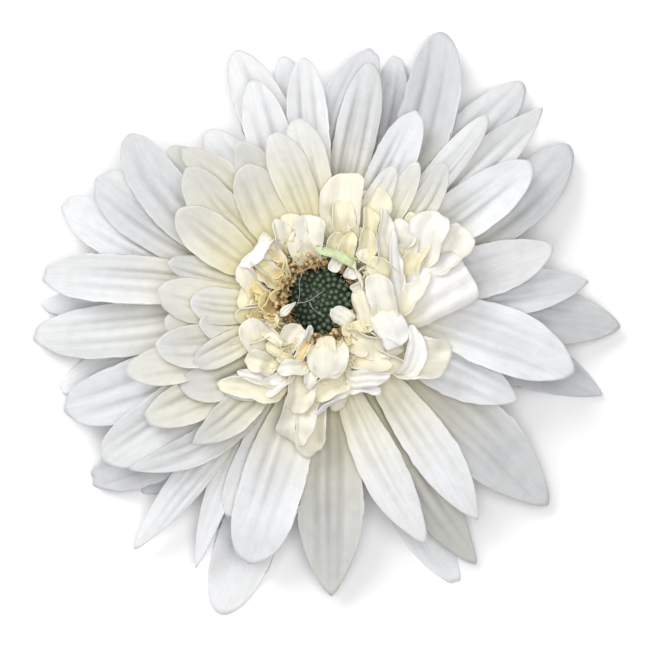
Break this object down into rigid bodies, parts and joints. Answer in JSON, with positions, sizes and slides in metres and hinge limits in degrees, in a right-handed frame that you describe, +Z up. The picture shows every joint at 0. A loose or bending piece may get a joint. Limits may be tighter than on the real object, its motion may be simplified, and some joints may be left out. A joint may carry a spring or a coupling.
{
  "type": "cut gerbera",
  "caption": "White semi-double gerbera head lying face up on a short stem stub: long rays in tiers, shorter cream inner rays, a ruff of small florets and a dark disc of buds.",
  "frame": {"origin": "on the ground, under the middle of the flower head's box", "axes": "+Z up out of the face of the flower, the axis of the stem stub; +Y towards the top of the face as seen from above"},
  "size_m": [0.1184, 0.1174, 0.0266],
  "materials": {
    "white_ray": "soft matt white petal",
    "cream_ray": "soft matt cream petal",
    "bud_green": "satin dark green bud",
    "bristle_tan": "dry fine bristles",
    "bract_green": "dull green bract, slightly downy",
    "stem_green": "satin pale green stem"
  },
  "bodies": {
    "root": {"stem_stub": "stem_green", "receptacle": "stem_green", "involucre": "bract_green", "ray_01": "white_ray", "ray_02": "white_ray", "ray_03": "white_ray", "ray_04": "white_ray", "ray_05": "white_ray", "ray_06": "white_ray", "ray_07": "white_ray", "ray_08": "white_ray", "ray_09": "white_ray", "ray_10": "white_ray", "ray_11": "white_ray", "ray_12": "white_ray", "ray_13": "white_ray", "ray_14": "white_ray", "ray_15": "white_ray", "ray_16": "white_ray", "ray_17": "white_ray", "ray_18": "white_ray", "ray_19": "white_ray", "ray_20": "white_ray", "ray_21": "white_ray", "ray_22": "white_ray", "ray_23": "white_ray", "ray_24": "white_ray", "ray_25": "white_ray", "ray_26": "white_ray", "ray_27": "white_ray", "ray_28": "white_ray", "ray_29": "white_ray", "ray_30": "white_ray", "ray_31": "white_ray", "ray_32": "white_ray", "ray_33": "white_ray", "ray_34": "white_ray", "ray_35": "white_ray", "ray_36": "white_ray", "ray_37": "white_ray", "ray_38": "white_ray", "ray_39": "white_ray", "ray_40": "white_ray", "ray_41": "white_ray", "ray_42": "white_ray", "ray_43": "white_ray", "ray_44": "white_ray", "ray_45": "white_ray", "inner_rays": "cream_ray", "ruff_florets": "cream_ray", "pappus": "bristle_tan", "disc_buds": "bud_green"}
  },
  "joints": []
}
